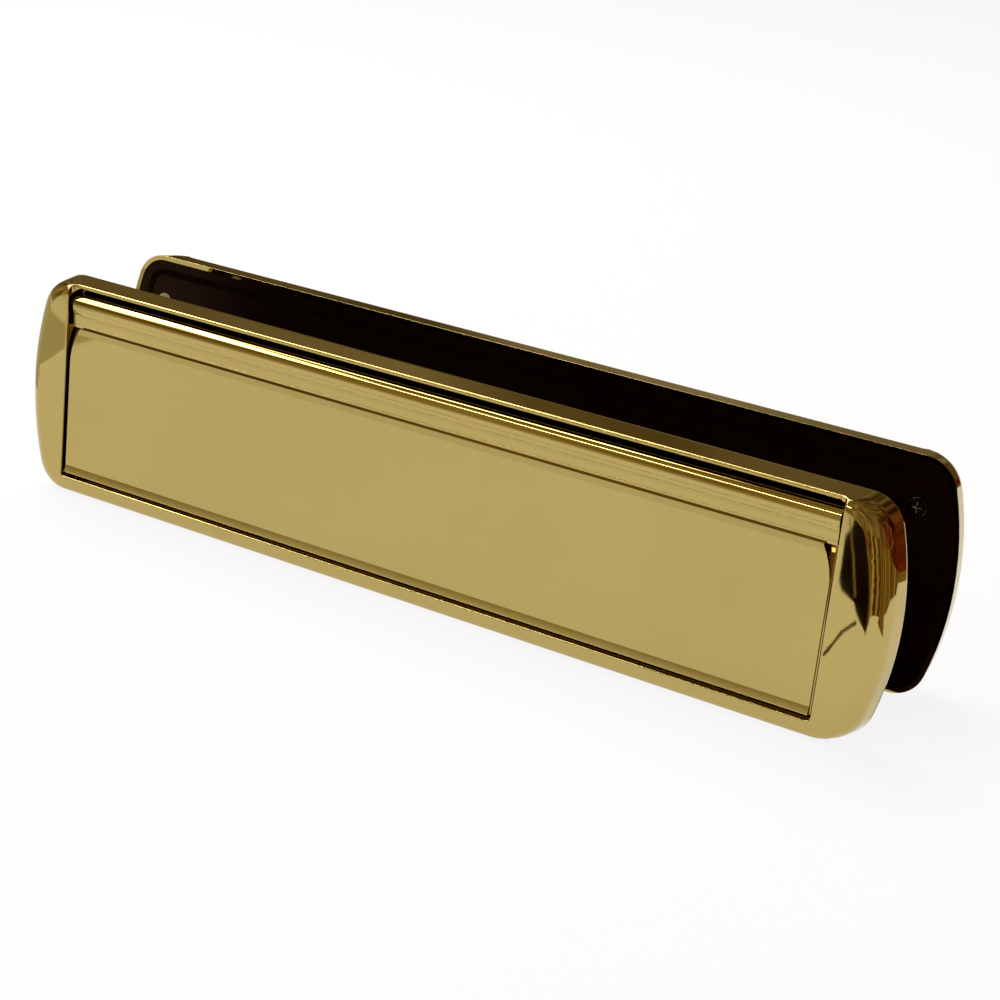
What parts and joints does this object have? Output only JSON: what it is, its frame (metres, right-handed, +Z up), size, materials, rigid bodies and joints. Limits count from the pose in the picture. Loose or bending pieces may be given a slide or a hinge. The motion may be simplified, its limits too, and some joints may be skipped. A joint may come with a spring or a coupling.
{
  "type": "sleeved door letterplate",
  "caption": "Polished gold letterplate for a front door: a sprung flap in a bowed frame on each face, joined by a plastic liner that telescopes through the door.",
  "frame": {"origin": "middle of the street frame, on the door's outer face", "axes": "+X to the right seen from the street, +Y through the door into the room, +Z up"},
  "size_m": [0.31, 0.064, 0.074],
  "materials": {
    "polished_gold": "polished, gold anodised",
    "dark_plastic": "semi-gloss brown-black moulding",
    "nylon": "moulded nylon",
    "seal_rubber": "matt rubber",
    "plated_steel": "zinc plated",
    "spring_steel": "bright drawn"
  },
  "bodies": {
    "outer_half": {"outer_frame": "polished_gold", "outer_back_plate": "dark_plastic", "outer_gasket": "seal_rubber", "outer_plate_screws": "plated_steel", "outer_sleeve": "dark_plastic", "outer_flap_seal": "seal_rubber", "outer_hinge_bushes": "nylon", "outer_hinge_springs": "spring_steel", "outer_hinge_keepers": "nylon", "fixing_pillars": "plated_steel"},
    "outer_flap": {"outer_flap": "polished_gold", "outer_hinge_pin": "spring_steel"},
    "inner_half": {"inner_frame": "polished_gold", "inner_back_plate": "dark_plastic", "inner_gasket": "seal_rubber", "inner_plate_screws": "plated_steel", "inner_sleeve": "dark_plastic", "inner_flap_seal": "seal_rubber", "inner_hinge_bushes": "nylon", "inner_hinge_springs": "spring_steel", "inner_hinge_keepers": "nylon", "fixing_screws": "plated_steel", "screw_caps": "dark_plastic"},
    "inner_flap": {"inner_flap": "polished_gold", "inner_hinge_pin": "spring_steel"}
  },
  "joints": [
    {"name": "outer_flap_hinge", "type": "hinge", "parent": "outer_half", "child": "outer_flap", "pos_m": [0, -0.00765, 0.02875], "axis": [-1, 0, 0], "range_deg": [0, 120], "stiffness_Nm_per_rad": 0.025, "springref_deg": -57.3, "deforming": ["outer_hinge_springs"]},
    {"name": "inner_flap_hinge", "type": "hinge", "parent": "inner_half", "child": "inner_flap", "pos_m": [0, 0.04765, 0.02875], "axis": [1, 0, 0], "range_deg": [0, 120], "stiffness_Nm_per_rad": 0.025, "springref_deg": -57.3, "deforming": ["inner_hinge_springs"]},
    {"name": "door_thickness_slide", "type": "slide", "parent": "outer_half", "child": "inner_half", "axis": [0, 1, 0], "range_m": [-0.01, 0.02]}
  ]
}
